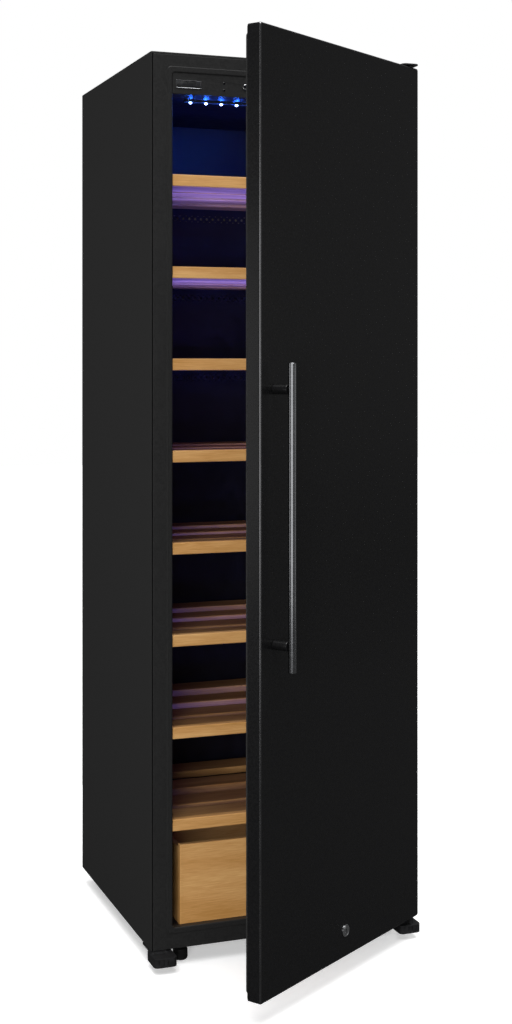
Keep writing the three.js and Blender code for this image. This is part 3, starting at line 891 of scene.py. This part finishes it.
def lock():
    """A rolled ring round a flat plug face. The face's inner rings blend from a circle to a slot, which
    goes in as the keyway."""
    low, high = shut_box("lock_plug")
    middle = (low + high) / 2
    face = low[1]
    angle = np.linspace(0, 2 * pi, 48, endpoint=False)
    circle = np.stack([np.cos(angle), np.sin(angle)], -1)
    slot = circle * (1.1, 4.6)
    rows = [(circle * 8.4, high[1] / MM), (circle * 8.4, face / MM + 2.4),
            (circle * 12, face / MM + 2.2), (circle * 12, face / MM + 1.2),
            (circle * 11.4, face / MM + 0.4), (circle * 10.4, face / MM),
            (circle * 9.4, face / MM + 0.2), (circle * 8.6, face / MM + 0.9),
            (circle * 8.2, face / MM + 0.5), (circle * 7.4, face / MM + 0.3),
            (circle * 4 + slot * 0.4, face / MM + 0.3), (slot, face / MM + 0.3),
            (slot * 0.94, face / MM + 5)]
    rings = [lift(flat * MM + (middle[0], middle[2]), 1, at * MM) for flat, at in rows]
    piece("lock_face", opened([skin(rings)]), "lock", CHROME, ["lock_plug"])
    repaint("lock_cam", ZINC)
    repaint("door_foam", FOAM)
    repaint("insulation_foam", FOAM)


def repaint(node, material):
    """A CAD node whose shape is right keeps it, and gets the better material."""
    mesh = frame["nodes"][node].data
    mesh.materials.clear()
    mesh.materials.append(material)


# ---- studio ----
def studio():
    scene = bpy.context.scene
    scene.view_settings.view_transform = "Standard"
    floor_size = 30.0
    bpy.ops.mesh.primitive_plane_add(size=floor_size, location=(0, 0, 0))
    floor = bpy.context.object
    floor.name = "studio_floor"
    floor.data.materials.append(stage_paint())

    world = bpy.data.worlds.new("studio")
    scene.world = world
    world.use_nodes = True
    tree = world.node_tree
    tree.nodes.clear()
    backdrop = add(tree, "Background", {"Color": (1, 1, 1, 1), "Strength": 1.0})
    ambient = add(tree, "Background", {"Color": (1, 1, 1, 1), "Strength": 0.1})
    seen = add(tree, "LightPath").outputs["Is Camera Ray"]
    mixed = add(tree, "MixShader", {0: seen, 1: ambient.outputs[0], 2: backdrop.outputs[0]})
    add(tree, "OutputWorld", {"Surface": mixed.outputs[0]})


def aim(thing, target):
    """Points a light at a place."""
    direction = Vector(target) - thing.location
    thing.rotation_euler = direction.to_track_quat("-Z", "Y").to_euler()


def lamp(name, kind, place, target, energy, colour=(1, 1, 1), **settings):
    data = bpy.data.lights.new(name, kind)
    data.energy = energy
    data.color = colour
    for key, value in settings.items():
        setattr(data, key, value)
    made = bpy.data.objects.new(name, data)
    bpy.context.scene.collection.objects.link(made)
    made.location = place
    made.visible_camera = False
    aim(made, target)
    return made


def shine(name, place, size, radiance):
    """A softbox seen only in reflections, of an even radiance, facing the door's handle."""
    made = lamp(name, "AREA", place, (-0.2, -0.48, 0.95), radiance * pi * size[0] * size[1],
                shape="RECTANGLE", size=size[0], size_y=size[1])
    made.visible_diffuse = False


def lights():
    lamp("overhead", "SUN", (0, -1.5, 6), (0, 0, 0), 3.6, angle=radians(60))
    key_light = lamp("key softbox", "AREA", (-2.4, -4.3, 1.0), (0, 0, 0.7), 172,
                     shape="RECTANGLE", size=1.6, size_y=2.2)
    side = lamp("side softbox", "AREA", (-3.4, 2.6, 1.2), (-0.3, 0.1, 0.9), 12,
                shape="RECTANGLE", size=2.0, size_y=3.0)
    far = lamp("far side softbox", "AREA", (3.4, 1.9, 1.4), (0.3, 0.1, 0.9), 60,
               shape="RECTANGLE", size=2.0, size_y=2.6)
    for light in (key_light, side, far):
        light.visible_glossy = False
    shine("front reflection", (-2.55, -4.3, 1.1), (5.0, 2.2), 0.9)
    shine("left reflection", (-3.93, 0.95, 1.0), (2.6, 1.6), 0.9)
    shine("right reflection", (3.45, -2.1, 1.1), (1.2, 2.0), 0.45)
    inside_lights()


def inside_lights():
    """A blue point under each ceiling light, and a violet panel that stands for the light between the
    shelves. The top bays get most of it."""
    blue = (0.02, 0.12, 1.0)
    violet = (0.10, 0.11, 1.0)
    panel_depth, panel_back, drop, crate_drop = 0.16, 0.13, 0.09, 0.012
    watts = [2.9] * 3 + [0.9] * 4 + [0.12]
    for k, (x, y, z) in enumerate(led_places()):
        lamp(f"led glow {k}", "POINT", (x, y, z - 9 * MM), (x, y, 0), 0.1, blue,
             shadow_soft_size=0.003)
    front = box("shelf_1_deck")[0][1]
    half = box("shelf_1_deck")[1][0]
    for i, strength in zip(SHELVES, watts):
        top = box(f"shelf_{i}_deck")[0][2]
        below = drop if i < len(watts) else crate_drop
        glow = lamp(f"bay glow {i}", "AREA", (0, front + panel_back, top - below),
                    (0, front + panel_back, top), strength, violet, shape="RECTANGLE",
                    size=2 * half, size_y=panel_depth)
        glow.visible_glossy = False


def camera():
    """A level camera a little to the left of the front, with the lens shifted down."""
    data = bpy.data.cameras.new("camera")
    data.lens = 55.22
    data.shift_y = -0.1468
    made = bpy.data.objects.new("camera", data)
    bpy.context.scene.collection.objects.link(made)
    made.location = (-1.1969, -3.1468, 1.226)
    made.rotation_euler = (pi / 2, 0, -radians(20.39))
    bpy.context.scene.camera = made


camera()
studio()
front_frame()
cabinet_shell()
liner_and_duct()
for number in SHELVES:
    shelf(number)
crate()
control_panel()
led_strip()
machine()
feet()
brackets()
door()
lights()
